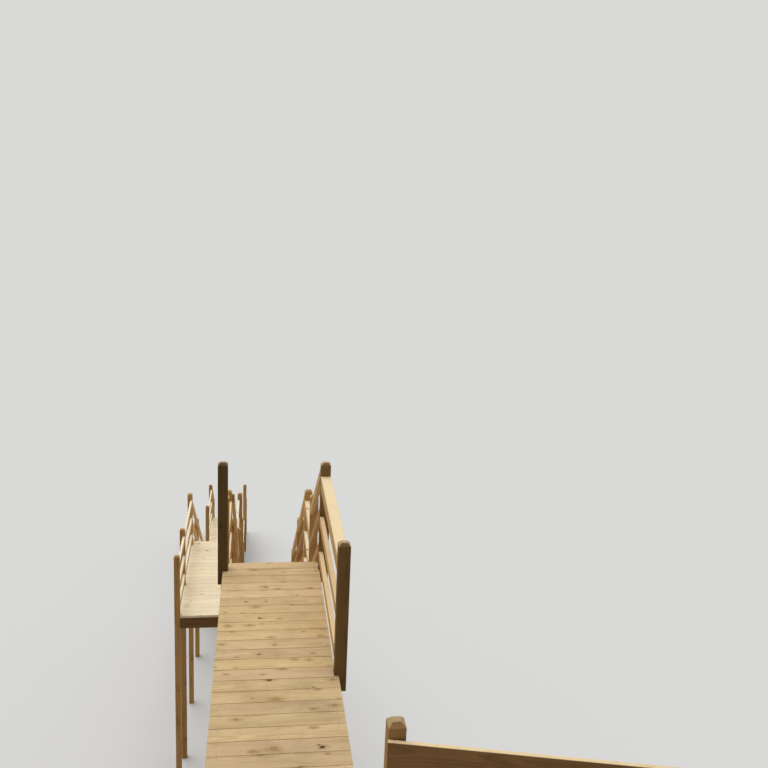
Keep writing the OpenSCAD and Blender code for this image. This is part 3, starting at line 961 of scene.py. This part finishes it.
def nail_places(boards, bearers):
    """Where the nails of a deck or flight stand: points on the tops of its boards."""
    planks, surface = dressed[boards]
    chance = random.Random(boards)
    places = []
    for board in planks:
        for bearer in dressed[bearers][0]:
            crossing = intersect_line_line_2d(*middle_line(board), *middle_line(bearer))
            if crossing is None:
                continue
            along_joist = bearer.grain.col[0].to_2d().normalized()
            for side in (-1, 1):
                spot = crossing + along_joist * board.half.y * PAIR_REACH * side
                spot += Vector((chance.uniform(-1, 1), chance.uniform(-1, 1))) * HAMMER_SLIP
                start = Vector((*spot, board.grain.translation.z + ABOVE))
                hit = surface.ray_cast(start, DOWN, ABOVE)[0]
                if hit:
                    places.append(hit)
    return places


places = {boards: nail_places(boards, bearers) for boards, bearers in NAILED.items()}
print(sum(len(spots) for spots in places.values()), "nails in", len(places), "decks and flights")

# %% Nail heads
HEAD_RADIUS = 0.0042
HEAD_TOP = 0.7
HEAD_PROUD = 0.0006
HEAD_SIDES = 8


def add_nails(boards, spots):
    """One piece with a nail head at every spot."""
    mesh = bmesh.new()
    for spot in spots:
        bmesh.ops.create_cone(
            mesh, cap_ends=True, segments=HEAD_SIDES, radius1=HEAD_RADIUS,
            radius2=HEAD_RADIUS * HEAD_TOP, depth=2 * HEAD_PROUD, matrix=Matrix.Translation(spot))
    return add_piece("nails_" + boards, mesh, steel)


nails = [add_nails(boards, spots) for boards, spots in places.items()]
print(len(nails), "pieces of nails, the first with", len(nails[0].data.polygons), "faces")

# %% [markdown]
# ## Floor
#
# A pale floor at the level of the feet keeps the stairs' shadow. It could end in
# a curved wall as in a studio, but the stairs are 22 m long and are seen from
# all sides, so the floor is wide, and far out it turns into the backdrop's own
# colour, which leaves no horizon. It looks pale to the camera but throws back
# less light than it shows, so that the undersides stay as brown as they are.

# %% Floor
FLOOR_HALF = 600.0
FADE_FROM, FADE_TO = 40.0, 220.0
BACKDROP = (0.70, 0.70, 0.69, 1.0)
FLOOR_SEEN = (0.72, 0.72, 0.71, 1.0)
FLOOR_BOUNCE = (0.34, 0.335, 0.33, 1.0)


def straight_to_eye(tree):
    """One for what the camera sees directly, in a mirror or through glass, else zero."""
    path = put(tree, "ShaderNodeLightPath").outputs
    seen = calculate(tree, "MAXIMUM", path["Is Camera Ray"], path["Is Glossy Ray"])
    return calculate(tree, "MAXIMUM", seen, path["Is Transmission Ray"])


def add_floor():
    """A wide plain floor that fades into the backdrop."""
    material, tree = new_material("pale_floor")
    colour = blended(tree, straight_to_eye(tree), FLOOR_BOUNCE, FLOOR_SEEN)
    matt = put(tree, "ShaderNodeBsdfDiffuse", {"Color": colour})
    plain = put(tree, "ShaderNodeEmission", {"Color": BACKDROP})
    place = put(tree, "ShaderNodeTexCoord").outputs["Object"]
    far = spread(tree, length_of(tree, place), FADE_FROM, FADE_TO)
    both = put(tree, "ShaderNodeMixShader", {0: far, 1: matt.outputs[0], 2: plain.outputs[0]})
    put(tree, "ShaderNodeOutputMaterial", {"Surface": both.outputs[0]})
    mesh = bmesh.new()
    bmesh.ops.create_grid(mesh, x_segments=1, y_segments=1, size=FLOOR_HALF)
    data = bpy.data.meshes.new("floor")
    mesh.to_mesh(data)
    mesh.free()
    data.materials.append(material)
    floor = bpy.data.objects.new("floor", data)
    bpy.context.scene.collection.objects.link(floor)
    return floor


floor = add_floor()
print("floor", [round(side) for side in floor.dimensions[:2]], "m")

# %% [markdown]
# ## Light
#
# A lamp close by would light the near end more than the far one, so the light
# comes from far away: a soft sky, and one very soft lamp high above. The sky is
# brighter beyond the stairs than behind the eye, so the tops of the boards get
# the most light, the sides of the rails get less, and the faces that look back
# at the eye get the least.

# %% Sky and lamp
SKY_BEHIND_EYE, SKY_BEYOND = 0.35, 0.75
SKY_TURN = 0.7
LAMP_STRENGTH = 1.5
LAMP_SOFTNESS = math.radians(70)
LAMP_TILT, LAMP_HEADING = math.radians(28), math.radians(-150)


def add_sky():
    """A soft sky for light, and the plain backdrop for the eye."""
    world = bpy.data.worlds.new("grey_sky")
    world.use_nodes = True
    tree = world.node_tree
    tree.nodes.clear()
    toward = axes_of(tree, put(tree, "ShaderNodeTexCoord").outputs["Generated"])["Y"]
    strength = spread(tree, toward, -SKY_TURN, SKY_TURN, SKY_BEHIND_EYE, SKY_BEYOND)
    light = put(tree, "ShaderNodeBackground", {"Color": (1, 1, 1, 1), "Strength": strength})
    plain = put(tree, "ShaderNodeBackground", {"Color": BACKDROP, "Strength": 1.0})
    both = put(tree, "ShaderNodeMixShader", {0: straight_to_eye(tree), 1: light.outputs[0],
               2: plain.outputs[0]})
    put(tree, "ShaderNodeOutputWorld", {"Surface": both.outputs[0]})
    bpy.context.scene.world = world


def add_lamp():
    """One soft lamp, so wide that its shadows have no edge."""
    data = bpy.data.lights.new("soft_lamp", "SUN")
    data.energy = LAMP_STRENGTH
    data.angle = LAMP_SOFTNESS
    lamp = bpy.data.objects.new("soft_lamp", data)
    lamp.matrix_world = Matrix.Rotation(LAMP_HEADING, 4, "Z") @ Matrix.Rotation(LAMP_TILT, 4, "X")
    bpy.context.scene.collection.objects.link(lamp)
    return lamp


add_sky()
lamp = add_lamp()
bpy.context.scene.view_settings.view_transform = "Standard"
print("lamp shines along", [round(c, 2) for c in lamp.matrix_world.to_3x3() @ DOWN])
